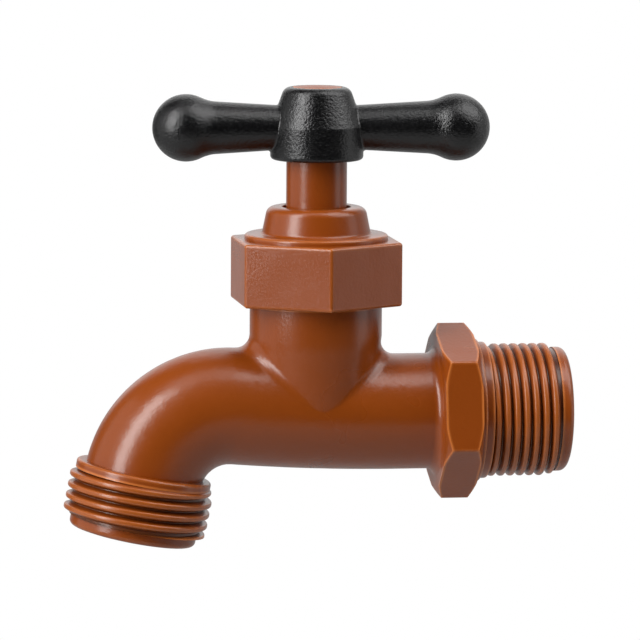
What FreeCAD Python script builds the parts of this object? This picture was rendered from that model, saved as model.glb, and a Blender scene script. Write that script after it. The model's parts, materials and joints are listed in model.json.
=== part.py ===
import FreeCAD, Part
import math
import os
import Sketcher
from types import SimpleNamespace

# Water butt tap: a moulded screw-down tap with a threaded inlet, a hexagon to turn it by,
# an upright neck that takes the bonnet, and a bent spout with a hose thread.
# The inlet axis is X, the spindle axis is parallel to Z, and the origin is on the inlet axis
# where the inlet thread starts. Turning the T-handle lifts the washer off its seat.

# Driving sizes, in millimetres and degrees
SIZES = {
    # Inlet: thread, plain collar, round boss and hexagon
    "inlet_thread_diameter": 26.44,
    "inlet_thread_length": 13.8,
    "inlet_lead_diameter": 24.8,
    "inlet_lead_length": 2.4,
    "inlet_lead_rounding": 1.4,
    "inlet_collar_diameter": 27.2,
    "inlet_collar_length": 1.6,
    "inlet_collar_rounding": 0.3,
    "inlet_boss_diameter": 28.6,
    "inlet_boss_length": 1.0,
    "inlet_boss_rounding": 0.4,
    "inlet_hex_across_flats": 30.4,
    "inlet_hex_width": 7.5,
    "inlet_hex_angle": 10.7,
    "inlet_hex_chamfer_circle": 31.0,
    "hex_chamfer_angle": 30.0,
    "hex_edge_rounding": 0.6,
    "inlet_bore_diameter": 15.0,
    # Barrel and upright neck
    "barrel_diameter": 23.0,
    "barrel_length": 23.9,
    "barrel_flare": 1.8,
    "neck_diameter": 26.2,
    "neck_foot_inset": 0.2,
    "neck_taper_height": 15.5,
    "neck_height": 21.9,
    "neck_saddle_fillet": 2.8,
    "neck_wall": 2.9,
    "chamber_floor_height": 0.5,
    "seat_height": 1.3,
    "seat_diameter": 13.0,
    "orifice_diameter": 9.0,
    "duct_diameter": 8.0,
    "duct_depth": 5.8,
    "duct_wall": 2.3,
    # Spout: rises a little from the neck, then turns down to the mouth
    "spout_root": 17.0,
    "spout_sweep_radius": 378.0,
    "spout_rise_angle": 5.0,
    "spout_bend_radius": 17.2,
    "spout_tilt_angle": 11.0,
    "spout_drop": 11.8,
    "spout_end_diameter": 23.3,
    "spout_bore_diameter": 18.0,
    "spout_bore_start": 7.5,
    "cut_overrun": 1.0,
    "outlet_thread_diameter": 28.7,
    "outlet_thread_length": 9.3,
    "outlet_lip_diameter": 25.3,
    "outlet_lip_length": 2.2,
    "outlet_lip_rounding": 1.0,
    "outlet_shoulder_diameter": 27.0,
    "outlet_shoulder_length": 1.7,
    "outlet_shoulder_rounding": 0.6,
    # Bonnet: hexagon, raised face, dome, and the spigot that screws into the neck
    "gasket_thickness": 1.0,
    "gasket_proud": 0.1,
    "gasket_side_gap": 0.1,
    "bonnet_hex_across_flats": 31.4,
    "bonnet_hex_height": 12.6,
    "bonnet_hex_angle": 1.5,
    "bonnet_face_diameter": 28.4,
    "bonnet_face_height": 1.1,
    "dome_base_diameter": 21.6,
    "dome_top_diameter": 19.4,
    "dome_height": 5.4,
    "dome_shoulder": 1.7,
    "dome_foot_fillet": 0.7,
    "dome_mouth_diameter": 13.6,
    "dome_mouth_depth": 1.6,
    "dome_mouth_rounding": 0.25,
    "spigot_length": 10.0,
    "spigot_gap": 0.1,
    "gasket_inset": 0.8,
    # Spindle with its drive thread, stem, seals and square drive
    "drive_thread_diameter": 14.0,
    "drive_thread_length": 15.2,
    "drive_thread_room": 4.2,
    "stem_diameter": 12.0,
    "spindle_gap": 0.06,
    "o_ring_section": 2.0,
    "o_ring_gap": 0.03,
    "o_ring_groove_width": 2.3,
    "o_ring_first_height": 8.5,
    "o_ring_spacing": 3.0,
    "drive_square": 8.0,
    "drive_square_length": 6.3,
    "stem_end_height": 9.3,
    # Valve: washer, jumper and its screw
    "washer_diameter": 14.0,
    "washer_thickness": 3.0,
    "jumper_plate_diameter": 15.5,
    "jumper_plate_thickness": 2.0,
    "jumper_pin_diameter": 5.0,
    "jumper_pin_length": 6.5,
    "jumper_pin_gap": 0.1,
    "jumper_pin_end_room": 0.5,
    "washer_screw_diameter": 2.6,
    "washer_screw_length": 7.0,
    "washer_screw_head_diameter": 5.5,
    "washer_screw_head_height": 1.4,
    # Handle: tapered hub over a straight skirt, with two arms that end in balls
    "handle_turn_angle": -2.0,
    "hub_skirt_diameter": 18.4,
    "hub_skirt_height": 6.6,
    "hub_top_diameter": 12.9,
    "hub_top_rounding": 1.8,
    "hub_foot_rounding": 0.8,
    "hub_waist_rounding": 0.5,
    "hub_recess_depth": 1.5,
    "hub_web": 1.6,
    "arm_height": 6.3,
    "arm_root_diameter": 7.9,
    "arm_end_diameter": 10.6,
    "arm_flare": 8.0,
    "arm_root_fillet": 0.5,
    "ball_diameter": 13.3,
    "left_ball_reach": 25.9,
    "right_ball_reach": 27.7,
    "socket_gap": 0.1,
    "socket_end_room": 0.2,
    # Handle screw, its washer and the cap over them
    "handle_screw_diameter": 3.5,
    "handle_screw_length": 10.0,
    "handle_screw_head_diameter": 6.4,
    "handle_screw_head_height": 2.0,
    "screw_gap": 0.05,
    "screw_end_room": 0.5,
    "screw_slot_width": 0.9,
    "screw_slot_depth": 0.9,
    "handle_washer_diameter": 7.0,
    "handle_washer_thickness": 0.8,
    "handle_washer_gap": 0.2,
    "cap_diameter": 9.6,
    "cap_thickness": 1.6,
    "cap_crown": 0.25,
    "cap_gap": 0.1,
    "screw_head_room": 0.3,
}


class Formula:
    """A sheet formula together with its present value."""

    def __init__(self, text, value):
        self.text = text
        self.value = value

    def combine(self, sign, other, value):
        return Formula("(%s %s %s)" % (self.text, sign, as_formula(other).text), value)

    def __add__(self, other):
        return self.combine("+", other, self.value + as_formula(other).value)

    def __sub__(self, other):
        return self.combine("-", other, self.value - as_formula(other).value)

    def __mul__(self, other):
        return self.combine("*", other, self.value * as_formula(other).value)

    def __truediv__(self, other):
        return self.combine("/", other, self.value / as_formula(other).value)

    def __neg__(self):
        return as_formula(0) - self


def as_formula(item):
    if isinstance(item, Formula):
        return item
    return Formula(repr(float(item)), float(item))


def sine(angle):
    return Formula("sin(%s * 1 deg)" % angle.text, math.sin(math.radians(angle.value)))


def cosine(angle):
    return Formula("cos(%s * 1 deg)" % angle.text, math.cos(math.radians(angle.value)))


def tangent(angle):
    return Formula("tan(%s * 1 deg)" % angle.text, math.tan(math.radians(angle.value)))


def root(square):
    return Formula("sqrt(%s)" % square.text, math.sqrt(square.value))


# How near two lengths must be to count as the same, in millimetres
NEAR = 0.01

doc = FreeCAD.newDocument("water_butt_tap")
sheet = doc.addObject("Spreadsheet::Sheet", "Sizes")
for row, (alias, number) in enumerate(SIZES.items(), start=1):
    sheet.set("A%d" % row, alias)
    sheet.set("B%d" % row, str(number))
    sheet.setAlias("B%d" % row, alias)
doc.recompute()
size = SimpleNamespace(**{alias: Formula("Sizes." + alias, number) for alias, number in SIZES.items()})
parts = []


def new_body(label, x=0, z=0, turn=None):
    """A sub-part whose own origin stands at x, z in the tap, turned about its Z axis."""
    body = doc.addObject("PartDesign::Body", label)
    body.Label = label
    if turn is not None:
        body.Placement = FreeCAD.Placement(FreeCAD.Vector(), FreeCAD.Vector(0, 0, 1), 1)
        body.setExpression("Placement.Rotation.Angle", turn.text)
    body.setExpression("Placement.Base.x", as_formula(x).text)
    body.setExpression("Placement.Base.z", as_formula(z).text)
    parts.append(body)
    return body


def new_sketch(body, name, plane, shift=(0, 0, 0), turn_axis=None, turn=None):
    """A sketch on one of the body's own planes, shifted and turned in that plane's axes."""
    sketch = body.newObject("Sketcher::SketchObject", name)
    support = [item for item in body.Origin.OriginFeatures if item.Role == plane][0]
    sketch.AttachmentSupport = (support, [""])
    sketch.MapMode = "FlatFace"
    if turn_axis is not None:
        sketch.AttachmentOffset = FreeCAD.Placement(FreeCAD.Vector(), FreeCAD.Vector(*turn_axis), 1)
        sketch.setExpression("AttachmentOffset.Rotation.Angle", turn.text)
    for axis, formula in zip("xyz", shift):
        sketch.setExpression("AttachmentOffset.Base." + axis, as_formula(formula).text)
    return sketch


def hold(sketch, curve, end, x=None, y=None):
    """Tie one point of a curve to formulas, measured from the sketch's origin."""
    for kind, formula in (("DistanceX", x), ("DistanceY", y)):
        if formula is None:
            continue
        formula = as_formula(formula)
        row = sketch.addConstraint(Sketcher.Constraint(kind, -1, 1, curve, end, formula.value))
        sketch.setExpression("Constraints[%d]" % row, formula.text)


def vector(x, y):
    return FreeCAD.Vector(as_formula(x).value, as_formula(y).value, 0)


def outline(sketch, corners):
    """A closed straight-sided outline whose corners follow their formulas."""
    points = [vector(x, y) for x, y in corners]
    first = sketch.GeometryCount
    for start, end in zip(points, points[1:] + points[:1]):
        sketch.addGeometry(Part.LineSegment(start, end))
    count = len(corners)
    for step, (x, y) in enumerate(corners):
        ahead = first + (step + 1) % count
        sketch.addConstraint(Sketcher.Constraint("Coincident", first + step, 2, ahead, 1))
        hold(sketch, first + step, 1, x, y)


def circle(sketch, diameter, x=0, y=0):
    """A circle whose centre and diameter follow their formulas."""
    shape = Part.Circle(vector(x, y), FreeCAD.Vector(0, 0, 1), diameter.value / 2)
    curve = sketch.addGeometry(shape)
    hold(sketch, curve, 3, x, y)
    row = sketch.addConstraint(Sketcher.Constraint("Diameter", curve, diameter.value))
    sketch.setExpression("Constraints[%d]" % row, diameter.text)


def hexagon(sketch, across_flats):
    """A hexagon about the sketch's origin with a corner at the top."""
    half = across_flats / 2
    corner = across_flats / root(as_formula(3))
    side = corner / 2
    outline(sketch, [(0, corner), (-half, side), (-half, -side), (0, -corner), (half, -side), (half, side)])


def turned(body, name, sketch, axis="V_Axis", kind="Revolution"):
    """A full turn of a sketch, added as a Revolution or cut as a Groove."""
    feature = body.newObject("PartDesign::" + kind, name)
    feature.Profile = sketch
    feature.ReferenceAxis = (sketch, [axis])
    feature.Angle = 360
    return feature


def pushed(body, name, sketch, length, kind="Pad", back=False):
    """A sketch pushed along its normal, added as a Pad or cut as a Pocket."""
    feature = body.newObject("PartDesign::" + kind, name)
    feature.Profile = sketch
    feature.setExpression("Length", length.text)
    feature.Reversed = back
    return feature


def rounded(body, name, radius, wanted):
    """A fillet on the edges of the body so far that the test function picks."""
    doc.recompute()
    base = body.Tip
    edges = []
    for number, edge in enumerate(base.Shape.Edges, start=1):
        if not edge.Degenerated and wanted(edge):
            edges.append("Edge%d" % number)
    feature = body.newObject("PartDesign::Fillet", name)
    feature.Base = (base, edges)
    feature.setExpression("Radius", radius.text)
    return feature


def is_circle(edge, radius, along, height):
    """True for a round edge of that radius whose centre is at that height along X or Z."""
    if not isinstance(edge.Curve, Part.Circle):
        return False
    centre = edge.Curve.Center.x if along == "x" else edge.Curve.Center.z
    return abs(edge.Curve.Radius - radius.value) < NEAR and abs(centre - height.value) < NEAR


def joins_corners(edge, across_flats, along):
    """True for a straight edge between two corners of a hexagon about X or Z."""
    corner = across_flats.value / math.sqrt(3)
    reaches = []
    for vertex in edge.Vertexes:
        side = vertex.Point.z if along == "x" else vertex.Point.x
        reaches.append(math.hypot(vertex.Point.y, side))
    return isinstance(edge.Curve, Part.Line) and all(abs(reach - corner) < NEAR for reach in reaches)


def runs_along_x(edge):
    return abs(edge.Vertexes[0].Point.x - edge.Vertexes[-1].Point.x) > NEAR


# Places that more than one piece shares
spindle_reach = (
    size.inlet_collar_length + size.inlet_boss_length + size.inlet_hex_width + size.barrel_length
)
spindle_x = -spindle_reach
spout_root_x = spindle_x + size.spout_root
barrel_radius = size.barrel_diameter / 2
neck_radius = size.neck_diameter / 2
chamber_radius = neck_radius - size.neck_wall
seat_z = size.chamber_floor_height + size.seat_height
bonnet_z = size.neck_height + size.gasket_proud
gasket_outer = neck_radius - size.gasket_inset
spindle_z = seat_z + size.washer_thickness + size.jumper_plate_thickness
drive_bore_top = spindle_z + size.drive_thread_length + size.drive_thread_room - bonnet_z
dome_top = size.bonnet_hex_height + size.bonnet_face_height + size.dome_height
hub_z = bonnet_z + dome_top + size.stem_end_height
drive_bore_radius = size.drive_thread_diameter / 2 + size.spindle_gap
stem_bore_radius = size.stem_diameter / 2 + size.spindle_gap
o_ring_radius = stem_bore_radius - size.o_ring_gap - size.o_ring_section / 2
o_ring_lower_z = size.drive_thread_length + size.o_ring_first_height
o_ring_heights = {"lower": o_ring_lower_z, "upper": o_ring_lower_z + size.o_ring_spacing}
drive_z = hub_z + size.hub_recess_depth
web_top = size.hub_recess_depth + size.drive_square_length + size.socket_end_room + size.hub_web
screw_seat = web_top + size.handle_washer_thickness
cap_floor = screw_seat + size.handle_screw_head_height + size.screw_head_room
hub_height = cap_floor + size.cap_thickness
washer_screw_hole = size.washer_screw_diameter / 2 + size.screw_gap
handle_screw_hole = size.handle_screw_diameter / 2 + size.screw_gap


def spout_path(body, name, start_reach, drop):
    """The spout's centre line: a slow rise under the neck, the bend, and the drop to the mouth.

    It leaves the barrel at spout_root_x, and start_reach is how far past there it begins.
    """
    rise = size.spout_rise_angle
    tilt = size.spout_tilt_angle
    slow = size.spout_sweep_radius
    bend = size.spout_bend_radius
    start_height = slow - root(slow * slow - start_reach * start_reach)
    rise_end = (-(slow * sine(rise)), slow - slow * cosine(rise))
    bend_centre = (-((slow + bend) * sine(rise)), slow - (slow + bend) * cosine(rise))
    bend_end = (bend_centre[0] - bend * cosine(tilt), bend_centre[1] + bend * sine(tilt))
    mouth = (bend_end[0] - drop * sine(tilt), bend_end[1] - drop * cosine(tilt))
    sketch = new_sketch(body, name, "XZ_Plane", (spout_root_x, 0, 0))
    start_angle = -math.pi / 2 - math.asin(start_reach.value / slow.value)
    rise_angle = -math.pi / 2 - math.radians(rise.value)
    up = FreeCAD.Vector(0, 0, 1)
    slow_circle = Part.Circle(vector(0, slow), up, slow.value)
    slow_arc = sketch.addGeometry(Part.ArcOfCircle(slow_circle, rise_angle, start_angle))
    bend_circle = Part.Circle(vector(*bend_centre), up, bend.value)
    bend_from = math.pi / 2 - math.radians(rise.value)
    bend_to = math.pi - math.radians(tilt.value)
    bend_arc = sketch.addGeometry(Part.ArcOfCircle(bend_circle, bend_from, bend_to))
    drop_line = sketch.addGeometry(Part.LineSegment(vector(*bend_end), vector(*mouth)))
    hold(sketch, slow_arc, 3, 0, slow)
    hold(sketch, slow_arc, 2, -start_reach, start_height)
    hold(sketch, slow_arc, 1, x=rise_end[0])
    sketch.addConstraint(Sketcher.Constraint("Coincident", slow_arc, 1, bend_arc, 1))
    hold(sketch, bend_arc, 3, *bend_centre)
    hold(sketch, bend_arc, 2, y=bend_end[1])
    sketch.addConstraint(Sketcher.Constraint("Coincident", bend_arc, 2, drop_line, 1))
    hold(sketch, drop_line, 2, *mouth)
    return sketch, start_height, mouth


def piped(body, name, profile, spine, end=None, kind="AdditivePipe"):
    """A section carried along a path, growing into the end section if one is given."""
    feature = body.newObject("PartDesign::" + kind, name)
    feature.Profile = profile
    feature.Spine = (spine, ["Edge1", "Edge2", "Edge3"])
    feature.Mode = "Standard"
    if end is not None:
        feature.Transformation = "Multisection"
        feature.Sections = [(end, [""])]
    return feature


def build_tap_body():
    """The moulded body with its waterway: inlet, duct, seat, chamber and spout."""
    body = new_body("tap_body")
    hex_end = -(size.inlet_collar_length + size.inlet_boss_length)
    hex_start = hex_end - size.inlet_hex_width
    boss_end = -size.inlet_collar_length
    thread_end = size.inlet_thread_length
    lead_end = thread_end + size.inlet_lead_length
    boss = size.inlet_boss_diameter / 2
    collar = size.inlet_collar_diameter / 2
    thread = size.inlet_thread_diameter / 2
    lead = size.inlet_lead_diameter / 2

    sketch = new_sketch(body, "inlet_profile", "XZ_Plane")
    outline(sketch, [
        (spout_root_x, 0), (spout_root_x, barrel_radius), (hex_end, barrel_radius), (hex_end, boss),
        (boss_end, boss), (boss_end, collar), (0, collar), (0, thread), (thread_end, thread),
        (thread_end, lead), (lead_end, lead), (lead_end, 0),
    ])
    turned(body, "inlet_and_barrel", sketch, "H_Axis")

    turn = size.inlet_hex_angle
    sketch = new_sketch(body, "inlet_hex_outline", "YZ_Plane", (0, 0, hex_start), (0, 0, -1), turn)
    flats = size.inlet_hex_across_flats
    hexagon(sketch, flats)
    pushed(body, "inlet_hex", sketch, size.inlet_hex_width)
    rounded(
        body, "inlet_hex_edges", size.hex_edge_rounding,
        lambda edge: joins_corners(edge, flats, "x") and runs_along_x(edge),
    )

    # The hexagon's corners are turned off to a cone at both ends
    circle_radius = size.inlet_hex_chamfer_circle / 2
    beyond = flats
    depth = (beyond - circle_radius) * tangent(size.hex_chamfer_angle)
    for name, face, inward in (("near", hex_start, 1), ("far", hex_end, -1)):
        sketch = new_sketch(body, name + "_chamfer_profile", "XZ_Plane")
        outline(sketch, [(face, circle_radius), (face, beyond), (face + depth * inward, beyond)])
        turned(body, name + "_chamfer", sketch, "H_Axis", "Groove")

    sketch = new_sketch(body, "neck_profile", "XZ_Plane", (spindle_x, 0, 0))
    outline(sketch, [
        (0, 0), (barrel_radius - size.neck_foot_inset, 0), (neck_radius, size.neck_taper_height),
        (neck_radius, size.neck_height), (0, size.neck_height),
    ])
    turned(body, "neck", sketch)

    spine, _, mouth = spout_path(body, "spout_path", as_formula(0), size.spout_drop)
    start = new_sketch(body, "spout_start", "YZ_Plane", (0, 0, spout_root_x))
    circle(start, size.barrel_diameter)
    end = new_sketch(
        body, "spout_end", "YZ_Plane", (0, mouth[1], spout_root_x + mouth[0]),
        (-1, 0, 0), as_formula(90) - size.spout_tilt_angle,
    )
    circle(end, size.spout_end_diameter)
    piped(body, "spout", start, spine, end)

    # Outlet: measured up the spout from the mouth
    lip = size.outlet_lip_diameter / 2
    hose_thread = size.outlet_thread_diameter / 2
    shoulder = size.outlet_shoulder_diameter / 2
    thread_top = size.outlet_lip_length + size.outlet_thread_length
    shoulder_top = thread_top + size.outlet_shoulder_length
    sketch = new_sketch(
        body, "outlet_profile", "XZ_Plane", (spout_root_x + mouth[0], mouth[1], 0),
        (0, 0, -1), size.spout_tilt_angle,
    )
    outline(sketch, [
        (0, 0), (lip, 0), (lip, size.outlet_lip_length), (hose_thread, size.outlet_lip_length),
        (hose_thread, thread_top), (shoulder, thread_top), (shoulder, shoulder_top), (0, shoulder_top),
    ])
    turned(body, "outlet", sketch)

    def on_saddle(edge):
        """True where the neck's taper meets the barrel and the spout."""
        box = edge.BoundBox
        from_axis = abs(box.Center.x - spindle_x.value)
        inside = from_axis < neck_radius.value and box.XLength < size.neck_diameter.value
        return inside and NEAR < box.ZMin and box.ZMax < size.neck_taper_height.value - NEAR

    rounded(body, "neck_saddle", size.neck_saddle_fillet, on_saddle)
    rounded(body, "barrel_flare", size.barrel_flare, lambda e: is_circle(e, barrel_radius, "x", hex_start))
    rounded(body, "lead_edge", size.inlet_lead_rounding, lambda e: is_circle(e, lead, "x", lead_end))
    rounded(body, "boss_edge", size.inlet_boss_rounding, lambda e: is_circle(e, boss, "x", boss_end))
    rounded(
        body, "collar_edge", size.inlet_collar_rounding,
        lambda edge: is_circle(edge, collar, "x", as_formula(0)),
    )
    rounded(body, "lip_edge", size.outlet_lip_rounding, lambda e: is_circle(e, lip, "z", mouth[1]))
    shoulder_z = mouth[1] + shoulder_top * cosine(size.spout_tilt_angle)
    rounded(
        body, "shoulder_edge", size.outlet_shoulder_rounding,
        lambda edge: is_circle(edge, shoulder, "z", shoulder_z),
    )

    # Waterway: the inlet bore steps down to a duct under the seat
    duct_start = spindle_x + chamber_radius + size.duct_wall
    inlet_bore = size.inlet_bore_diameter / 2
    sketch = new_sketch(body, "inlet_bore_profile", "XZ_Plane")
    outline(sketch, [(duct_start, 0), (duct_start, inlet_bore), (lead_end, inlet_bore), (lead_end, 0)])
    turned(body, "inlet_bore", sketch, "H_Axis", "Groove")

    sketch = new_sketch(body, "duct_outline", "YZ_Plane", (0, 0, duct_start))
    circle(sketch, size.duct_diameter, 0, -size.duct_depth)
    duct_length = duct_start - spindle_x + size.orifice_diameter / 2
    pushed(body, "duct", sketch, duct_length, "Pocket")

    orifice = size.orifice_diameter / 2
    seat = size.seat_diameter / 2
    floor = size.chamber_floor_height
    sketch = new_sketch(body, "chamber_profile", "XZ_Plane", (spindle_x, 0, 0))
    outline(sketch, [
        (0, -size.duct_depth), (orifice, -size.duct_depth), (orifice, seat_z), (seat, seat_z),
        (seat, floor), (chamber_radius, floor), (chamber_radius, size.neck_height), (0, size.neck_height),
    ])
    turned(body, "chamber", sketch, kind="Groove")

    bore_reach = size.spout_root + size.spout_bore_start
    bore_drop = size.spout_drop + size.cut_overrun
    spine, bore_z, _ = spout_path(body, "spout_bore_path", bore_reach, bore_drop)
    start = new_sketch(body, "spout_bore_section", "YZ_Plane", (0, bore_z, spout_root_x - bore_reach))
    circle(start, size.spout_bore_diameter)
    piped(body, "spout_bore", start, spine, kind="SubtractivePipe")


def build_bonnet():
    """The moulded head that screws into the neck and guides the spindle."""
    body = new_body("bonnet", spindle_x, bonnet_z)
    spigot = chamber_radius - size.spigot_gap
    face = size.bonnet_face_diameter / 2
    hex_top = size.bonnet_hex_height
    face_top = hex_top + size.bonnet_face_height
    mouth = size.dome_mouth_diameter / 2
    mouth_floor = dome_top - size.dome_mouth_depth
    dome_foot = size.dome_base_diameter / 2
    dome_rim = size.dome_top_diameter / 2

    sketch = new_sketch(body, "bonnet_profile", "XZ_Plane")
    outline(sketch, [
        (drive_bore_radius, -size.spigot_length), (spigot, -size.spigot_length), (spigot, hex_top),
        (face, hex_top), (face, face_top), (dome_foot, face_top), (dome_rim, dome_top),
        (mouth, dome_top), (mouth, mouth_floor), (stem_bore_radius, mouth_floor),
        (stem_bore_radius, drive_bore_top), (drive_bore_radius, drive_bore_top),
    ])
    turned(body, "bonnet_core", sketch)

    sketch = new_sketch(body, "bonnet_hex_outline", "XY_Plane", (0, 0, 0), (0, 0, 1), size.bonnet_hex_angle)
    flats = size.bonnet_hex_across_flats
    hexagon(sketch, flats)
    circle(sketch, spigot * 2)
    pushed(body, "bonnet_hex", sketch, hex_top)

    # The gasket sits in the underside and stands out of it a little, to be squeezed on the neck
    recess = gasket_outer + size.gasket_side_gap
    recess_top = size.gasket_thickness - size.gasket_proud
    sketch = new_sketch(body, "gasket_recess_profile", "XZ_Plane")
    outline(sketch, [(spigot, 0), (recess, 0), (recess, recess_top), (spigot, recess_top)])
    turned(body, "gasket_recess", sketch, kind="Groove")

    rounded(body, "hex_edges", size.hex_edge_rounding, lambda e: joins_corners(e, flats, "z"))
    rounded(body, "face_edge", size.hex_edge_rounding, lambda e: is_circle(e, face, "z", face_top))
    rounded(body, "dome_shoulder", size.dome_shoulder, lambda e: is_circle(e, dome_rim, "z", dome_top))
    rounded(body, "dome_foot", size.dome_foot_fillet, lambda e: is_circle(e, dome_foot, "z", face_top))
    rounded(body, "mouth_edge", size.dome_mouth_rounding, lambda e: is_circle(e, mouth, "z", dome_top))


def ring(label, z, inner, outer, height):
    """A flat ring or disc about the spindle axis."""
    body = new_body(label, spindle_x, z)
    sketch = new_sketch(body, label + "_profile", "XZ_Plane")
    outline(sketch, [(inner, 0), (outer, 0), (outer, height), (inner, height)])
    turned(body, label + "_turn", sketch)


def build_spindle():
    """Spindle: coarse drive thread, stem with two seal grooves, and a square for the handle."""
    body = new_body("spindle", spindle_x, spindle_z, size.handle_turn_angle)
    socket = size.jumper_pin_diameter / 2 + size.jumper_pin_gap
    socket_end = size.jumper_pin_length + size.jumper_pin_end_room
    thread = size.drive_thread_diameter / 2
    stem = size.stem_diameter / 2
    stem_top = drive_z - spindle_z
    groove = o_ring_radius - size.o_ring_section / 2 - size.o_ring_gap
    half = size.o_ring_groove_width / 2
    thread_top = size.drive_thread_length
    corners = [(socket, 0), (thread, 0), (thread, thread_top), (stem, thread_top)]
    for height in o_ring_heights.values():
        low = height - half
        high = height + half
        corners += [(stem, low), (groove, low), (groove, high), (stem, high)]
    corners += [(stem, stem_top), (0, stem_top), (0, socket_end), (socket, socket_end)]
    sketch = new_sketch(body, "spindle_profile", "XZ_Plane")
    outline(sketch, corners)
    turned(body, "spindle_turn", sketch)

    sketch = new_sketch(body, "drive_outline", "XY_Plane", (0, 0, stem_top))
    square(sketch, size.drive_square)
    pushed(body, "drive", sketch, size.drive_square_length)

    sketch = new_sketch(body, "screw_hole_outline", "XY_Plane", (0, 0, stem_top + size.drive_square_length))
    circle(sketch, handle_screw_hole * 2)
    above = size.handle_washer_thickness + size.hub_web + size.socket_end_room
    pushed(body, "screw_hole", sketch, size.handle_screw_length - above + size.screw_end_room, "Pocket")


def square(sketch, side):
    half = side / 2
    outline(sketch, [(-half, -half), (half, -half), (half, half), (-half, half)])


def build_o_rings():
    """Two rubber rings in the stem's grooves, squeezed to the bonnet's bore."""
    for name, height in o_ring_heights.items():
        body = new_body("spindle_o_ring_" + name, spindle_x, spindle_z + height)
        sketch = new_sketch(body, name + "_ring_section", "XZ_Plane")
        circle(sketch, size.o_ring_section, o_ring_radius, 0)
        turned(body, name + "_ring_turn", sketch)


def build_valve():
    """Rubber washer that closes on the seat, the jumper that carries it, and its screw."""
    ring("tap_washer", seat_z, washer_screw_hole, size.washer_diameter / 2, size.washer_thickness)

    body = new_body("jumper", spindle_x, seat_z + size.washer_thickness)
    plate = size.jumper_plate_diameter / 2
    plate_top = size.jumper_plate_thickness
    pin = size.jumper_pin_diameter / 2
    pin_top = plate_top + size.jumper_pin_length
    hole_end = size.washer_screw_length - size.washer_thickness + size.screw_end_room
    sketch = new_sketch(body, "jumper_profile", "XZ_Plane")
    outline(sketch, [
        (washer_screw_hole, 0), (plate, 0), (plate, plate_top), (pin, plate_top), (pin, pin_top),
        (0, pin_top), (0, hole_end), (washer_screw_hole, hole_end),
    ])
    turned(body, "jumper_turn", sketch)

    screw(
        "washer_screw", seat_z, size.washer_screw_diameter, size.washer_screw_length,
        size.washer_screw_head_diameter, -size.washer_screw_head_height,
    )


def screw(label, z, diameter, length, head_diameter, head_top):
    """A slotted screw with its head seated at z; the shank runs the other way from the head."""
    body = new_body(label, spindle_x, z)
    up = head_top.value > 0
    tip = -length if up else length
    shank = diameter / 2
    head = head_diameter / 2
    sketch = new_sketch(body, label + "_profile", "XZ_Plane")
    outline(sketch, [(0, tip), (shank, tip), (shank, 0), (head, 0), (head, head_top), (0, head_top)])
    turned(body, label + "_turn", sketch)

    reach = head
    half = size.screw_slot_width / 2
    sketch = new_sketch(body, label + "_slot_outline", "XY_Plane", (0, 0, head_top))
    outline(sketch, [(-reach, -half), (reach, -half), (reach, half), (-reach, half)])
    pushed(body, label + "_slot", sketch, size.screw_slot_depth, "Pocket", back=not up)


def build_handle():
    """T-handle: hub with two arms, hollowed for the drive square, the screw and the cap."""
    body = new_body("handle", spindle_x, hub_z, size.handle_turn_angle)
    skirt = size.hub_skirt_diameter / 2
    crown = size.hub_top_diameter / 2
    sketch = new_sketch(body, "hub_profile", "XZ_Plane")
    outline(sketch, [
        (0, 0), (skirt, 0), (skirt, size.hub_skirt_height), (crown, hub_height), (0, hub_height),
    ])
    turned(body, "hub", sketch)
    rounded(body, "hub_foot", size.hub_foot_rounding, lambda e: is_circle(e, skirt, "z", as_formula(0)))
    waist = size.hub_skirt_height
    rounded(body, "hub_waist", size.hub_waist_rounding, lambda e: is_circle(e, skirt, "z", waist))
    rounded(body, "hub_crown", size.hub_top_rounding, lambda e: is_circle(e, crown, "z", hub_height))

    neck = size.arm_end_diameter / 2
    sketch = new_sketch(body, "arm_profile", "XZ_Plane", (0, size.arm_height, 0))
    left_neck, right_neck = arm_outline(sketch, neck)
    turned(body, "arms", sketch, "H_Axis")
    rounded(body, "arm_roots", size.arm_root_fillet, on_arm_root)
    rounded(body, "left_flare", size.arm_flare, lambda e: is_circle(e, neck, "x", left_neck))
    rounded(body, "right_flare", size.arm_flare, lambda e: is_circle(e, neck, "x", right_neck))

    stem_socket = size.stem_diameter / 2 + size.socket_gap
    sketch = new_sketch(body, "stem_recess_outline", "XY_Plane")
    circle(sketch, stem_socket * 2)
    pushed(body, "stem_recess", sketch, size.hub_recess_depth, "Pocket", back=True)

    sketch = new_sketch(body, "drive_socket_outline", "XY_Plane", (0, 0, size.hub_recess_depth))
    square(sketch, size.drive_square + size.socket_gap * 2)
    socket_depth = size.drive_square_length + size.socket_end_room
    pushed(body, "drive_socket", sketch, socket_depth, "Pocket", back=True)

    washer_pocket = size.handle_washer_diameter / 2 + size.handle_washer_gap
    cap_recess = size.cap_diameter / 2 + size.cap_gap
    web_floor = web_top - size.hub_web
    sketch = new_sketch(body, "screw_bore_profile", "XZ_Plane")
    outline(sketch, [
        (0, web_floor), (handle_screw_hole, web_floor), (handle_screw_hole, web_top),
        (washer_pocket, web_top), (washer_pocket, cap_floor), (cap_recess, cap_floor),
        (cap_recess, hub_height), (0, hub_height),
    ])
    turned(body, "screw_bore", sketch, kind="Groove")


def on_arm_root(edge):
    """True where an arm leaves the hub, on a line that is no circle of the hub's own."""
    box = edge.BoundBox
    near_hub = max(abs(box.XMin), abs(box.XMax)) < size.hub_skirt_diameter.value / 2 + NEAR
    return near_hub and box.ZLength > NEAR and not isinstance(edge.Curve, (Part.Circle, Part.Line))


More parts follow.
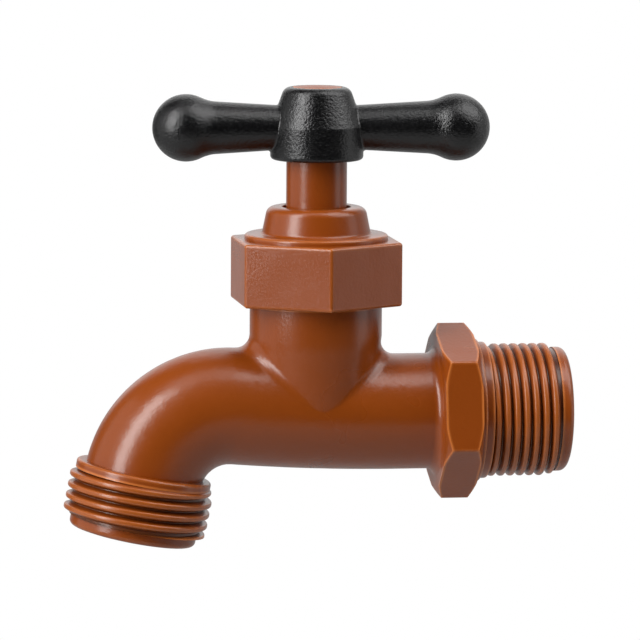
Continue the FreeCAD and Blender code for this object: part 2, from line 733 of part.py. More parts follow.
def arm_outline(sketch, neck):
    """Half section of both arms: a slow taper out to a ball at each end."""
    ball = size.ball_diameter / 2
    left = -size.left_ball_reach
    right = size.right_ball_reach
    arm_root = size.arm_root_diameter / 2
    ball_to_neck = root(ball * ball - neck * neck)
    left_neck = left + ball_to_neck
    right_neck = right - ball_to_neck
    neck_angle = math.pi - math.asin(neck.value / ball.value)
    up = FreeCAD.Vector(0, 0, 1)
    left_circle = Part.Circle(vector(left, 0), up, ball.value)
    right_circle = Part.Circle(vector(right, 0), up, ball.value)
    axis = sketch.addGeometry(Part.LineSegment(vector(left - ball, 0), vector(right + ball, 0)))
    right_ball = sketch.addGeometry(Part.ArcOfCircle(right_circle, 0, neck_angle))
    right_arm = sketch.addGeometry(Part.LineSegment(vector(right_neck, neck), vector(0, arm_root)))
    left_arm = sketch.addGeometry(Part.LineSegment(vector(0, arm_root), vector(left_neck, neck)))
    left_ball = sketch.addGeometry(Part.ArcOfCircle(left_circle, math.pi - neck_angle, math.pi))
    joins = [
        (axis, 2, right_ball, 1), (right_ball, 2, right_arm, 1), (right_arm, 2, left_arm, 1),
        (left_arm, 2, left_ball, 1), (left_ball, 2, axis, 1),
    ]
    for join in joins:
        sketch.addConstraint(Sketcher.Constraint("Coincident", *join))
    hold(sketch, right_ball, 3, right, 0)
    hold(sketch, left_ball, 3, left, 0)
    hold(sketch, axis, 1, y=0)
    hold(sketch, axis, 2, y=0)
    hold(sketch, right_arm, 1, right_neck, neck)
    hold(sketch, right_arm, 2, 0, arm_root)
    hold(sketch, left_arm, 2, left_neck, neck)
    return left_neck, right_neck


def build_handle_fixings():
    """The screw and flat washer that hold the handle, and the cap pressed in over them."""
    ring(
        "handle_screw_washer", hub_z + web_top, handle_screw_hole,
        size.handle_washer_diameter / 2, size.handle_washer_thickness,
    )
    screw(
        "handle_screw", hub_z + screw_seat, size.handle_screw_diameter, size.handle_screw_length,
        size.handle_screw_head_diameter, size.handle_screw_head_height,
    )

    body = new_body("handle_cap", spindle_x, hub_z + cap_floor)
    rim = size.cap_diameter / 2
    top = size.cap_thickness
    crown = size.cap_crown
    crown_radius = (rim * rim + crown * crown) / (crown * 2)
    centre = top + crown - crown_radius
    sketch = new_sketch(body, "cap_profile", "XZ_Plane")
    half_angle = math.asin(rim.value / crown_radius.value)
    crown_circle = Part.Circle(vector(0, centre), FreeCAD.Vector(0, 0, 1), crown_radius.value)
    dome = sketch.addGeometry(Part.ArcOfCircle(crown_circle, math.pi / 2 - half_angle, math.pi / 2))
    axis = sketch.addGeometry(Part.LineSegment(vector(0, top + crown), vector(0, 0)))
    base = sketch.addGeometry(Part.LineSegment(vector(0, 0), vector(rim, 0)))
    side = sketch.addGeometry(Part.LineSegment(vector(rim, 0), vector(rim, top)))
    for join in [(dome, 2, axis, 1), (axis, 2, base, 1), (base, 2, side, 1), (side, 2, dome, 1)]:
        sketch.addConstraint(Sketcher.Constraint("Coincident", *join))
    hold(sketch, dome, 3, 0, centre)
    hold(sketch, dome, 1, rim, top)
    hold(sketch, dome, 2, x=0)
    hold(sketch, base, 1, 0, 0)
    hold(sketch, base, 2, rim, 0)
    turned(body, "cap_turn", sketch)


def check_and_write():
    """Stop on any failed object, then write one file for each sub-part."""
    doc.recompute()
    failed = [item.Name for item in doc.Objects if "Invalid" in item.State or "Error" in item.State]
    if failed:
        raise RuntimeError("failed: " + ", ".join(failed))
    os.makedirs("parts", exist_ok=True)
    for body in parts:
        shape = body.Shape
        if shape.isNull() or not shape.isValid() or len(shape.Solids) != 1:
            raise RuntimeError("no sound solid: " + body.Label)
        shape.exportStep("parts/%s.step" % body.Label)
        print("%-24s %9.1f mm3 %4d faces" % (body.Label, shape.Volume, len(shape.Faces)))


build_tap_body()
build_bonnet()
ring("bonnet_gasket", size.neck_height, chamber_radius, gasket_outer, size.gasket_thickness)
build_spindle()
build_o_rings()
build_valve()
build_handle()
build_handle_fixings()
check_and_write()
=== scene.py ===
import json
import math

import bmesh
import bpy
from mathutils import Matrix, Vector


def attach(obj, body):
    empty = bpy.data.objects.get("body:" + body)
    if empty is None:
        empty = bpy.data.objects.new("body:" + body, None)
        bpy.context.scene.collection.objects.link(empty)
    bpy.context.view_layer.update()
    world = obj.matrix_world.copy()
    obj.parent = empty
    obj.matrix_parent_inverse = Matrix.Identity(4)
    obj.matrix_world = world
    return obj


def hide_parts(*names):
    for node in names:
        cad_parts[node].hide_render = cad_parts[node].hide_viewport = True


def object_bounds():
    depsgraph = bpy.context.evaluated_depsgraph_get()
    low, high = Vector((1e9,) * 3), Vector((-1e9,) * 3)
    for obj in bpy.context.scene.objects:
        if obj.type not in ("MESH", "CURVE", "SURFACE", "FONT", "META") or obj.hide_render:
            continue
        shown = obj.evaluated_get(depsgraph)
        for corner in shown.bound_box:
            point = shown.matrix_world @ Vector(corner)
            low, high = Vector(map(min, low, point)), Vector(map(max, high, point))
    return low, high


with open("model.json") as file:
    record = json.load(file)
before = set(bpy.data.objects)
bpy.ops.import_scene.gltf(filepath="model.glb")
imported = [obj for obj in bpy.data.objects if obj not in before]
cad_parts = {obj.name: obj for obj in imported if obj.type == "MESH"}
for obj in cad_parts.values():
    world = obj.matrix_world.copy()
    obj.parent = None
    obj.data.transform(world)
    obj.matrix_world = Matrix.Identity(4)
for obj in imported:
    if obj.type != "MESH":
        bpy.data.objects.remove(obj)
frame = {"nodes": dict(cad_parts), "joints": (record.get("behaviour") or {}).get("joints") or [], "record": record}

cad_low, cad_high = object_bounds()

# Tap body: one moulding in terracotta plastic, with the inlet, the hexagon, the neck and the spout.
# It takes its form from the solid, with the two threads cut back to their roots and the rounded
# ridge of each thread wound on, as they come out of an unscrewing mould.
plastic_brown = (0.222, 0.043, 0.0026, 1.0)
plastic_warm = (0.268, 0.052, 0.0028, 1.0)
# Paler orange for convex edges: a painted highlight where edges would catch the light.
edge_painted_highlight = (0.58, 0.17, 0.035, 1.0)
# Dark brown for the roots of the thread grooves: painted shade in the recesses.
groove_painted_shade = (0.042, 0.008, 0.0025, 1.0)


def terracotta_plastic(name, edge_width, specular):
    """Satin plastic with flow in its colour, mould wobble under fine grain, painted highlights on its edges and
    painted shade in its thread grooves.
    """
    material = bpy.data.materials.new(name)
    material.use_nodes = True
    nodes = material.node_tree.nodes
    link = material.node_tree.links.new
    shader = nodes["Principled BSDF"]
    shader.inputs["Specular IOR Level"].default_value = specular
    shader.inputs["Coat Weight"].default_value = 0.24
    shader.inputs["Coat Roughness"].default_value = 0.19
    place = nodes.new("ShaderNodeTexCoord")

    flow = nodes.new("ShaderNodeTexNoise")
    flow.inputs["Scale"].default_value = 45.0
    flow.inputs["Detail"].default_value = 3.0
    link(place.outputs["Object"], flow.inputs["Vector"])
    tone = nodes.new("ShaderNodeMix")
    tone.data_type = "RGBA"
    tone.inputs["A"].default_value = plastic_brown
    tone.inputs["B"].default_value = plastic_warm
    link(flow.outputs["Fac"], tone.inputs["Factor"])

    # Painted highlight: convex edges, found by rays sent into the surface, are painted a paler orange.
    inside = nodes.new("ShaderNodeAmbientOcclusion")
    inside.inside = True
    inside.only_local = True
    inside.samples = 12
    inside.inputs["Distance"].default_value = edge_width
    edge = nodes.new("ShaderNodeMapRange")
    edge.inputs["From Min"].default_value = 0.965
    edge.inputs["From Max"].default_value = 0.82
    edge.inputs["To Max"].default_value = 0.75
    link(inside.outputs["AO"], edge.inputs["Value"])
    edge_lit = nodes.new("ShaderNodeMix")
    edge_lit.data_type = "RGBA"
    edge_lit.inputs["B"].default_value = edge_painted_highlight
    link(edge.outputs["Result"], edge_lit.inputs["Factor"])
    link(tone.outputs["Result"], edge_lit.inputs["A"])
    # Painted shade: the colour darkens towards the roots of the thread grooves, driven by the groove depth.
    groove = nodes.new("ShaderNodeAttribute")
    groove.attribute_name = "groove"
    shade = nodes.new("ShaderNodeMath")
    shade.operation = "MULTIPLY"
    shade.inputs[1].default_value = 0.75
    link(groove.outputs["Fac"], shade.inputs[0])
    groove_shaded = nodes.new("ShaderNodeMix")
    groove_shaded.data_type = "RGBA"
    groove_shaded.inputs["B"].default_value = groove_painted_shade
    link(shade.outputs["Value"], groove_shaded.inputs["Factor"])
    link(edge_lit.outputs["Result"], groove_shaded.inputs["A"])
    link(groove_shaded.outputs["Result"], shader.inputs["Base Color"])

    gloss = nodes.new("ShaderNodeMapRange")
    gloss.inputs["From Min"].default_value = 0.3
    gloss.inputs["From Max"].default_value = 0.7
    gloss.inputs["To Min"].default_value = 0.26
    gloss.inputs["To Max"].default_value = 0.33
    link(flow.outputs["Fac"], gloss.inputs["Value"])
    link(gloss.outputs["Result"], shader.inputs["Roughness"])

    wobble = nodes.new("ShaderNodeTexNoise")
    wobble.inputs["Scale"].default_value = 130.0
    wobble.inputs["Detail"].default_value = 1.0
    link(place.outputs["Object"], wobble.inputs["Vector"])
    slow = nodes.new("ShaderNodeBump")
    slow.inputs["Strength"].default_value = 0.25
    slow.inputs["Distance"].default_value = 0.0004
    link(wobble.outputs["Fac"], slow.inputs["Height"])
    grain = nodes.new("ShaderNodeTexNoise")
    grain.inputs["Scale"].default_value = 1700.0
    grain.inputs["Detail"].default_value = 3.0
    link(place.outputs["Object"], grain.inputs["Vector"])
    satin = nodes.new("ShaderNodeBump")
    satin.inputs["Strength"].default_value = 0.35
    satin.inputs["Distance"].default_value = 0.00008
    link(grain.outputs["Fac"], satin.inputs["Height"])
    link(slow.outputs["Normal"], satin.inputs["Normal"])
    link(satin.outputs["Normal"], shader.inputs["Normal"])
    link(satin.outputs["Normal"], shader.inputs["Coat Normal"])
    return material


body_plastic = terracotta_plastic("terracotta_plastic", edge_width=0.0006, specular=0.41)

inlet_crest = 0.01322
inlet_root = 0.01218
inlet_length = 0.0138
inlet_pitch = 0.00194
inlet_start = -0.00072
inlet_turns = 7.3
inlet_run_in = 0.8
inlet_run_out = 0.5
outlet_crest = 0.01435
outlet_root = 0.01300
outlet_pitch = 0.0022
outlet_start = 0.0013
outlet_turns = 4.96
outlet_run_in = 0.6
outlet_run_out = 0.8
outlet_shoulder = 0.0009
outlet_mouth_to_thread = 0.0022
# the ridge's section in shares of the pitch, and its base in shares of half the pitch
ridge_foot = 0.47
ridge_top = 0.19
crest_rounding = 0.12
foot_rounding = 0.08
ridge_base = 0.97
ridge_sink = 0.0016
steps_a_turn = 72
skin = 0.00003
wall_tolerance = 0.00004
end_tolerance = 0.00002
weld = 0.000002
hexagon_back = -0.014
square_to_axis = 0.0001
# angles in degrees
flat_angle = 0.05
body_sharp_angle = 32
ridge_sharp_angle = 40

mounts = {mount["name"]: mount for mount in frame["record"]["mounts"]}


def mount_place(name):
    """A matrix at the mount whose Z runs along the thread."""
    axis = Vector(mounts[name]["axis"]).normalized()
    across = Vector((0.0, 1.0, 0.0))
    matrix = Matrix((across.cross(axis), across, axis)).transposed().to_4x4()
    matrix.translation = Vector(mounts[name]["pos_m"])
    return matrix


def cut_back(mesh, place, crest, root, length):
    """Draw the plain wall of a thread in to the root of its grooves."""
    to_thread = place.inverted()
    for vertex in mesh.verts:
        local = to_thread @ vertex.co
        radius = math.hypot(local.x, local.y)
        on_crest = abs(radius - crest) < wall_tolerance
        if on_crest and -end_tolerance < local.z < length + end_tolerance:
            drawn_in = (root - skin) / radius
            vertex.co = place @ Vector((local.x * drawn_in, local.y * drawn_in, local.z))
            # Full groove depth, which the plastic darkens with painted shade.
            vertex[groove_depth] = 1.0


def shade_by_angle(mesh, degrees):
    """Shade every face smooth and keep the edges sharper than the angle."""
    mesh.normal_update()
    for face in mesh.faces:
        face.smooth = True
    for edge in mesh.edges:
        edge.smooth = edge.calc_face_angle(0.0) < math.radians(degrees)


def wind_thread(name, place, crest, root, reach, pitch, start, turns, run_in, run_out):
    """Wind one rounded ridge round the thread's core, fading in and out at its ends."""
    ridge = bmesh.new()
    depth = ridge.verts.layers.float.new("groove")
    half = pitch / 2
    foot = pitch * ridge_foot
    top = pitch * ridge_top
    base = half * ridge_base
    section = [
        (root - ridge_sink, -base), (root, -half), (root, -foot), (crest, -top),
        (crest, top), (root, foot), (root, half), (root - ridge_sink, base),
    ]
    corners = [ridge.verts.new((radius, 0.0, start + along)) for radius, along in section]
    ridge.faces.new(corners)
    bmesh.ops.bevel(
        ridge, geom=[corners[3], corners[4]], offset=pitch * crest_rounding, offset_type="OFFSET",
        affect="VERTICES", segments=5, profile=0.5, material=-1,
    )
    bmesh.ops.bevel(
        ridge, geom=[corners[2], corners[5]], offset=pitch * foot_rounding, offset_type="OFFSET",
        affect="VERTICES", segments=2, profile=0.5, material=-1,
    )
    steps = round(turns * steps_a_turn)
    bmesh.ops.spin(
        ridge, geom=ridge.verts[:] + ridge.edges[:] + ridge.faces[:], axis=(0.0, 0.0, 1.0),
        cent=(0.0, 0.0, 0.0), dvec=(0.0, 0.0, pitch / steps_a_turn),
        angle=math.tau * steps / steps_a_turn, steps=steps, use_merge=False, use_duplicate=False,
    )
    for vertex in ridge.verts:
        x, y, z = vertex.co
        radius = math.hypot(x, y)
        # The groove depth drives the painted shade towards the root.
        vertex[depth] = min(1.0, max(0.0, (crest - radius) / (crest - root))) ** 2
        if radius <= root:
            vertex.co.z = min(max(z, skin), reach)
            continue
        part_turn = math.atan2(y, x) / math.tau
        turn = round((z - start) / pitch - part_turn) + part_turn
        rise = min(1.0, max(0.0, turn / run_in), max(0.0, (turns - turn) / run_out))
        rise = rise * rise * (3 - 2 * rise)
        shrunk = (root + (radius - root) * rise) / radius
        middle = start + pitch * turn
        narrowed = min(max(middle + (z - middle) * rise, skin), reach)
        vertex.co = (x * shrunk, y * shrunk, narrowed)
    bmesh.ops.recalc_face_normals(ridge, faces=ridge.faces[:])
    bmesh.ops.transform(ridge, matrix=place, verts=ridge.verts[:])
    shade_by_angle(ridge, ridge_sharp_angle)
    wound = bpy.data.meshes.new(name)
    ridge.to_mesh(wound)
    ridge.free()
    wound.materials.append(body_plastic)
    piece = bpy.data.objects.new(name, wound)
    bpy.context.scene.collection.objects.link(piece)
    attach(piece, "tap")


body_mesh = bmesh.new()
body_mesh.from_mesh(frame["nodes"]["tap_body"].data)
groove_depth = body_mesh.verts.layers.float.new("groove")
bmesh.ops.remove_doubles(body_mesh, verts=body_mesh.verts[:], dist=weld)
spanner_flats = set()
for face in body_mesh.faces:
    middle = face.calc_center_median()
    on_hexagon = hexagon_back < middle.x < 0.0 and math.hypot(middle.y, middle.z) > inlet_crest
    if on_hexagon and abs(face.normal.x) < square_to_axis:
        spanner_flats.add(face)
bmesh.ops.dissolve_limit(
    body_mesh, angle_limit=math.radians(flat_angle), use_dissolve_boundaries=False, verts=[],
    edges=[edge for edge in body_mesh.edges if spanner_flats.issuperset(edge.link_faces)],
    delimit={"SEAM"},
)
inlet_place = mount_place("inlet_thread")
outlet_length = mounts["outlet_thread"]["dims"]["length_mm"] / 1000
outlet_up = mount_place("outlet_thread") @ Matrix.Rotation(math.pi, 4, "X")
cut_back(body_mesh, inlet_place, inlet_crest, inlet_root, inlet_length)
cut_back(body_mesh, outlet_up, outlet_crest, outlet_root, outlet_length)
shade_by_angle(body_mesh, body_sharp_angle)
body_data = bpy.data.meshes.new("moulded_tap_body")
body_mesh.to_mesh(body_data)
body_mesh.free()
tap_body = bpy.data.objects.new("moulded_tap_body", body_data)
bpy.context.scene.collection.objects.link(tap_body)
even = tap_body.modifiers.new("flat_faces_stay_flat", "WEIGHTED_NORMAL")
even.keep_sharp = True
body_data.materials.append(body_plastic)
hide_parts("tap_body")
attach(tap_body, "tap")
wind_thread(
    "inlet_thread_ridge", inlet_place, inlet_crest, inlet_root, inlet_length - skin, inlet_pitch,
    inlet_start, inlet_turns, inlet_run_in, inlet_run_out,
)
wind_thread(
    "outlet_thread_ridge", outlet_up, outlet_crest, outlet_root, outlet_length + outlet_shoulder,
    outlet_pitch, outlet_start - outlet_mouth_to_thread, outlet_turns, outlet_run_in,
    outlet_run_out,
)


# Bonnet: the moulded head that screws down into the neck, with a hexagon for a spanner and
# a round dome that the stem comes out of. Same plastic as the body.
def dress(node, material):
    """Put a finish on a piece that keeps the shape of its solid."""
    frame["nodes"][node].data.materials.clear()
    frame["nodes"][node].data.materials.append(material)


dress("bonnet", body_plastic)


# Seals: gasket under the bonnet, two rings on the stem and the washer that closes on the seat.
# All are moulded black rubber with a dusty bloom and a fine pebbled skin.
rubber_black = (0.011, 0.011, 0.011, 1.0)
rubber_dust = (0.034, 0.033, 0.032, 1.0)
rubber = bpy.data.materials.new("seal_rubber")
rubber.use_nodes = True
rubber_nodes = rubber.node_tree.nodes
rubber_link = rubber.node_tree.links.new
rubber_shader = rubber_nodes["Principled BSDF"]
rubber_shader.inputs["Roughness"].default_value = 0.72
rubber_place = rubber_nodes.new("ShaderNodeTexCoord")
bloom = rubber_nodes.new("ShaderNodeTexNoise")
bloom.inputs["Scale"].default_value = 420.0
bloom.inputs["Detail"].default_value = 4.0
rubber_link(rubber_place.outputs["Object"], bloom.inputs["Vector"])
bloom_colour = rubber_nodes.new("ShaderNodeMix")
bloom_colour.data_type = "RGBA"
bloom_colour.inputs["A"].default_value = rubber_black
bloom_colour.inputs["B"].default_value = rubber_dust
rubber_link(bloom.outputs["Fac"], bloom_colour.inputs["Factor"])
rubber_link(bloom_colour.outputs["Result"], rubber_shader.inputs["Base Color"])
pebble = rubber_nodes.new("ShaderNodeBump")
pebble.inputs["Strength"].default_value = 0.2
pebble.inputs["Distance"].default_value = 0.00005
rubber_link(bloom.outputs["Fac"], pebble.inputs["Height"])
rubber_link(pebble.outputs["Normal"], rubber_shader.inputs["Normal"])
for seal in ("bonnet_gasket", "spindle_o_ring_lower", "spindle_o_ring_upper", "tap_washer"):
    dress(seal, rubber)


# Spindle: the stem that the handle turns, moulded in the same brown plastic.
# Its foot carries the jumper and its top is a square that drives the handle.
dress("spindle", body_plastic)


# Valve: turned brass jumper and the brass screw that holds the washer on it.
# The lathe leaves fine rings round the spindle axis, and the metal is slightly dulled by water.
brass_bright = (0.66, 0.44, 0.15, 1.0)
brass_dull = (0.45, 0.27, 0.08, 1.0)
spindle_axis_x = frame["joints"][1]["pos_m"][0]


def turned_metal(name, bright, dull, roughness):
    """Metal off a lathe, with tool rings round the spindle's axis and a patchy tarnish."""
    material = bpy.data.materials.new(name)
    material.use_nodes = True
    nodes = material.node_tree.nodes
    link = material.node_tree.links.new
    shader = nodes["Principled BSDF"]
    shader.inputs["Metallic"].default_value = 1.0
    shader.inputs["Roughness"].default_value = roughness
    place = nodes.new("ShaderNodeTexCoord")
    centre = nodes.new("ShaderNodeMapping")
    centre.inputs["Location"].default_value = (-spindle_axis_x, 0.0, 0.0)
    link(place.outputs["Object"], centre.inputs["Vector"])
    rings = nodes.new("ShaderNodeTexWave")
    rings.wave_type = "RINGS"
    rings.rings_direction = "Z"
    rings.inputs["Scale"].default_value = 900.0
    rings.inputs["Distortion"].default_value = 0.6
    link(centre.outputs["Vector"], rings.inputs["Vector"])
    tarnish = nodes.new("ShaderNodeTexNoise")
    tarnish.inputs["Scale"].default_value = 240.0
    tarnish.inputs["Detail"].default_value = 3.0
    link(place.outputs["Object"], tarnish.inputs["Vector"])
    colour = nodes.new("ShaderNodeMix")
    colour.data_type = "RGBA"
    colour.inputs["A"].default_value = dull
    colour.inputs["B"].default_value = bright
    link(tarnish.outputs["Fac"], colour.inputs["Factor"])
    link(colour.outputs["Result"], shader.inputs["Base Color"])
    tool_marks = nodes.new("ShaderNodeBump")
    tool_marks.inputs["Strength"].default_value = 0.15
    tool_marks.inputs["Distance"].default_value = 0.00003
    link(rings.outputs["Fac"], tool_marks.inputs["Height"])
    link(tool_marks.outputs["Normal"], shader.inputs["Normal"])
    return material


brass = turned_metal("valve_brass", brass_bright, brass_dull, roughness=0.32)
for valve_piece in ("jumper", "washer_screw"):
    dress(valve_piece, brass)


# Handle: black moulded T with a tapered hub and two arms that swell into balls.
# The mould is spark-eroded, so the plastic has a fine leathery grain with a low sheen.
grain_hollow = (0.0012, 0.0012, 0.0014, 1.0)
grain_peak = (0.0060, 0.0060, 0.0064, 1.0)
grip = bpy.data.materials.new("grained_black_plastic")
grip.use_nodes = True
grip_nodes = grip.node_tree.nodes
grip_link = grip.node_tree.links.new
grip_shader = grip_nodes["Principled BSDF"]
grip_shader.inputs["Specular IOR Level"].default_value = 0.52
grip_place = grip_nodes.new("ShaderNodeTexCoord")
grip_grain = grip_nodes.new("ShaderNodeTexNoise")
grip_grain.inputs["Scale"].default_value = 1900.0
grip_grain.inputs["Detail"].default_value = 3.0
grip_grain.inputs["Roughness"].default_value = 0.6
grip_link(grip_place.outputs["Object"], grip_grain.inputs["Vector"])
grip_bump = grip_nodes.new("ShaderNodeBump")
grip_bump.inputs["Strength"].default_value = 0.8
grip_bump.inputs["Distance"].default_value = 0.00017
grip_link(grip_grain.outputs["Fac"], grip_bump.inputs["Height"])
grip_link(grip_bump.outputs["Normal"], grip_shader.inputs["Normal"])
handling = grip_nodes.new("ShaderNodeTexNoise")
handling.inputs["Scale"].default_value = 70.0
handling.inputs["Detail"].default_value = 3.0
grip_link(grip_place.outputs["Object"], handling.inputs["Vector"])
grip_colour = grip_nodes.new("ShaderNodeMix")
grip_colour.data_type = "RGBA"
grip_colour.inputs["A"].default_value = grain_hollow
grip_colour.inputs["B"].default_value = grain_peak
grip_peaks = grip_nodes.new("ShaderNodeMapRange")
grip_peaks.inputs["From Min"].default_value = 0.42
grip_peaks.inputs["From Max"].default_value = 0.62
grip_link(grip_grain.outputs["Fac"], grip_peaks.inputs["Value"])
grip_link(grip_peaks.outputs["Result"], grip_colour.inputs["Factor"])
grip_link(grip_colour.outputs["Result"], grip_shader.inputs["Base Color"])
grip_gloss = grip_nodes.new("ShaderNodeMapRange")
grip_gloss.inputs["From Min"].default_value = 0.3
grip_gloss.inputs["From Max"].default_value = 0.7
grip_gloss.inputs["To Min"].default_value = 0.21
grip_gloss.inputs["To Max"].default_value = 0.28
grip_link(handling.outputs["Fac"], grip_gloss.inputs["Value"])
grip_link(grip_gloss.outputs["Result"], grip_shader.inputs["Roughness"])
dress("handle", grip)


# Handle fixings: plated steel screw and washer down in the hub, and the brown cap over them.
# The cap is pressed in flush and is the body's plastic, rubbed matt by hands.
steel_bright = (0.60, 0.60, 0.61, 1.0)
steel_dull = (0.42, 0.42, 0.44, 1.0)
steel = turned_metal("screw_steel", steel_bright, steel_dull, roughness=0.30)
for fixing in ("handle_screw", "handle_screw_washer"):
    dress(fixing, steel)
cap_plastic = terracotta_plastic("matt_terracotta_plastic", edge_width=0.0004, specular=0.12)
cap_plastic.node_tree.nodes["Principled BSDF"].inputs["Coat Weight"].default_value = 0.0
dress("handle_cap", cap_plastic)


# Studio floor: a round sheet of white paper below the tap, which is held by its inlet thread.
# It takes the tap's shadow and fades out to the white of the room, and only its top side shows.
floor_drop = 0.25
floor_reach = 0.9
floor_corners = 96
floor_in_reflections = 0.12
paper_grey = (0.42, 0.42, 0.42, 1.0)
paper_white = (0.90, 0.90, 0.90, 1.0)


def background_rays(nodes, link, in_reflections):
    """1 where the camera looks at the background, less where a surface mirrors it, 0 for light.

    Returns that node and the node whose second input is the share in reflections.
    """
    ray = nodes.new("ShaderNodeLightPath")
    mirrored = nodes.new("ShaderNodeMath")
    mirrored.operation = "MAXIMUM"
    link(ray.outputs["Is Glossy Ray"], mirrored.inputs[0])
    link(ray.outputs["Is Transmission Ray"], mirrored.inputs[1])
    share = nodes.new("ShaderNodeMath")
    share.operation = "MULTIPLY"
    share.inputs[1].default_value = in_reflections
    link(mirrored.outputs["Value"], share.inputs[0])
    seen = nodes.new("ShaderNodeMath")
    seen.operation = "MAXIMUM"
    link(ray.outputs["Is Camera Ray"], seen.inputs[0])
    link(share.outputs["Value"], seen.inputs[1])
    return seen, share


sheet = bmesh.new()
bmesh.ops.create_circle(sheet, cap_ends=True, segments=floor_corners, radius=floor_reach)
bmesh.ops.translate(sheet, verts=sheet.verts[:], vec=(0.0, 0.0, cad_low[2] - floor_drop))
sheet_mesh = bpy.data.meshes.new("studio_floor")
sheet.to_mesh(sheet_mesh)
sheet.free()
floor = bpy.data.objects.new("studio_floor", sheet_mesh)
bpy.context.scene.collection.objects.link(floor)
paper = bpy.data.materials.new("white_paper")
paper.use_nodes = True
paper_nodes = paper.node_tree.nodes
paper_link = paper.node_tree.links.new
paper_shader = paper_nodes["Principled BSDF"]
paper_shader.inputs["Roughness"].default_value = 0.9
paper_shader.inputs["Specular IOR Level"].default_value = 0.0
paper_ray = background_rays(paper_nodes, paper_link, floor_in_reflections)[0]
paper_colour = paper_nodes.new("ShaderNodeMix")
paper_colour.data_type = "RGBA"
paper_colour.inputs["A"].default_value = paper_grey
paper_colour.inputs["B"].default_value = paper_white
paper_link(paper_ray.outputs["Value"], paper_colour.inputs["Factor"])
paper_link(paper_colour.outputs["Result"], paper_shader.inputs["Base Color"])
paper_place = paper_nodes.new("ShaderNodeTexCoord")
from_middle = paper_nodes.new("ShaderNodeVectorMath")
from_middle.operation = "LENGTH"
paper_link(paper_place.outputs["Object"], from_middle.inputs[0])
fade = paper_nodes.new("ShaderNodeMapRange")
fade.interpolation_type = "SMOOTHSTEP"
fade.inputs["From Min"].default_value = 0.33
fade.inputs["From Max"].default_value = 0.85
paper_link(from_middle.outputs["Value"], fade.inputs["Value"])
seen_far = paper_nodes.new("ShaderNodeMath")
seen_far.operation = "MULTIPLY"
paper_link(fade.outputs["Result"], seen_far.inputs[0])
paper_link(paper_ray.outputs["Value"], seen_far.inputs[1])
paper_glow = paper_nodes.new("ShaderNodeEmission")
paper_glow.inputs["Color"].default_value = (1.0, 1.0, 1.0, 1.0)
paper_seen = paper_nodes.new("ShaderNodeMixShader")
paper_link(seen_far.outputs["Value"], paper_seen.inputs["Fac"])
paper_link(paper_shader.outputs["BSDF"], paper_seen.inputs[1])
paper_link(paper_glow.outputs["Emission"], paper_seen.inputs[2])
paper_side = paper_nodes.new("ShaderNodeNewGeometry")
paper_clear = paper_nodes.new("ShaderNodeBsdfTransparent")
paper_top = paper_nodes.new("ShaderNodeMixShader")
paper_link(paper_side.outputs["Backfacing"], paper_top.inputs["Fac"])
paper_link(paper_seen.outputs["Shader"], paper_top.inputs[1])
paper_link(paper_clear.outputs["BSDF"], paper_top.inputs[2])
paper_link(paper_top.outputs["Shader"], paper_nodes["Material Output"].inputs["Surface"])
sheet_mesh.materials.append(paper)


# Studio light: a tall soft box high on the left is the key, and a square one high on the right
# answers it. Wide weak boxes fill the two sides, the top and the back, in a dim grey room
# whose white backdrop the camera sees, and which shiny surfaces mirror at the rear.
aim = Vector((-0.03319, -0.00031, 0.01846))
room_grey = (0.03, 0.03, 0.03, 1.0)
room_white = (1.0, 1.0, 1.0, 1.0)
backdrop_direction = (0.5, 0.866, 0.0)


def soft_box(name, azimuth, elevation, distance, width, height, power):
    """A lamp that faces the tap, with angles in degrees, sizes in metres and power in watts."""
    lamp = bpy.data.lights.new(name, "AREA")
    lamp.shape = "RECTANGLE"
    lamp.size = width
    lamp.size_y = height
    lamp.energy = power
    box = bpy.data.objects.new(name, lamp)
    swing = math.radians(azimuth)
    lift = math.radians(elevation)
    towards = Vector((
        math.sin(swing) * math.cos(lift), -math.cos(swing) * math.cos(lift), math.sin(lift),
    ))
    box.location = aim + towards * distance
    box.rotation_euler = towards.to_track_quat("Z", "Y").to_euler()
    bpy.context.scene.collection.objects.link(box)


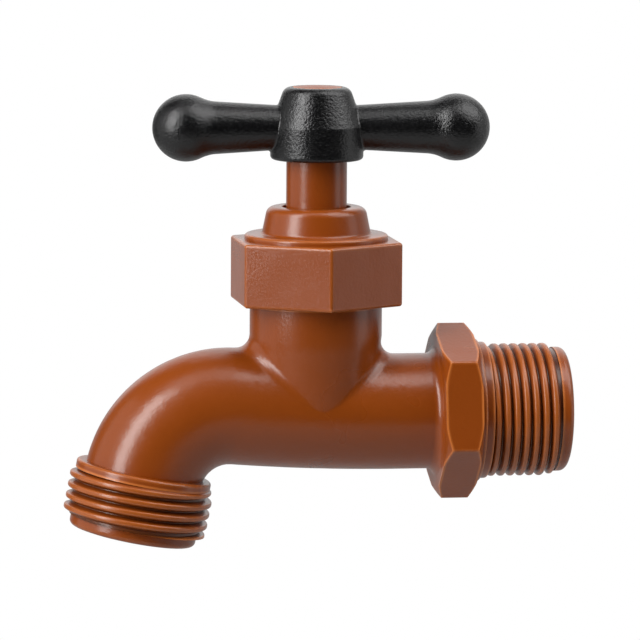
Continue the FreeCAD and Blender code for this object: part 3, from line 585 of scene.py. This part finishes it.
soft_box("key_soft_box", -60.0, 26.0, 0.9, 0.33, 1.0, 10.4)
soft_box("left_fill", -102.0, 5.0, 1.0, 0.9, 1.5, 2.8)
soft_box("top_soft_box", -5.0, 74.0, 0.8, 0.8, 0.37, 1.3)
soft_box("back_top_rim", 165.0, 50.0, 0.9, 0.6, 0.45, 0.5)
soft_box("back_fill", 176.0, 24.0, 1.3, 1.3, 0.9, 2.2)
soft_box("right_high", 70.0, 52.0, 0.9, 0.8, 0.8, 6.0)
soft_box("right_fill", 80.0, 8.0, 1.0, 0.45, 1.6, 2.3)
room = bpy.data.worlds.new("studio_room")
bpy.context.scene.world = room
room.use_nodes = True
room_nodes = room.node_tree.nodes
room_link = room.node_tree.links.new
room_nodes["Background"].inputs["Color"].default_value = room_grey
white = room_nodes.new("ShaderNodeBackground")
white.inputs["Color"].default_value = room_white
room_ray, room_share = background_rays(room_nodes, room_link, 1.0)
room_place = room_nodes.new("ShaderNodeTexCoord")
towards_backdrop = room_nodes.new("ShaderNodeVectorMath")
towards_backdrop.operation = "DOT_PRODUCT"
towards_backdrop.inputs[1].default_value = backdrop_direction
room_link(room_place.outputs["Generated"], towards_backdrop.inputs[0])
backdrop = room_nodes.new("ShaderNodeMapRange")
backdrop.interpolation_type = "SMOOTHSTEP"
backdrop.inputs["From Min"].default_value = 0.3
backdrop.inputs["From Max"].default_value = 0.9
backdrop.inputs["To Max"].default_value = 0.5
room_link(towards_backdrop.outputs["Value"], backdrop.inputs["Value"])
room_link(backdrop.outputs["Result"], room_share.inputs[1])
room_seen = room_nodes.new("ShaderNodeMixShader")
room_link(room_ray.outputs["Value"], room_seen.inputs["Fac"])
room_link(room_nodes["Background"].outputs["Background"], room_seen.inputs[1])
room_link(white.outputs["Background"], room_seen.inputs[2])
room_link(room_seen.outputs["Shader"], room_nodes["World Output"].inputs["Surface"])


# Camera: a long lens a little above the inlet axis and a little to the left of square on,
# as in the photograph.
view_azimuth = math.radians(-8.32)
view_elevation = math.radians(7.14)
view_roll = math.radians(0.37)
view_distance = 1.0086
view_width = 0.12676
lens = bpy.data.cameras.new("camera")
lens.sensor_width = 36.0
lens.lens = lens.sensor_width * view_distance / view_width
camera = bpy.data.objects.new("camera", lens)
back = Vector((
    math.sin(view_azimuth) * math.cos(view_elevation),
    -math.cos(view_azimuth) * math.cos(view_elevation),
    math.sin(view_elevation),
))
right = Vector((math.cos(view_azimuth), math.sin(view_azimuth), 0.0))
turn_to_view = Matrix((right, back.cross(right), back)).transposed().to_4x4()
stand = Matrix.Translation(aim + back * view_distance)
camera.matrix_world = stand @ turn_to_view @ Matrix.Rotation(view_roll, 4, "Z")
bpy.context.scene.collection.objects.link(camera)
bpy.context.scene.camera = camera
bpy.context.scene.view_settings.view_transform = "Standard"
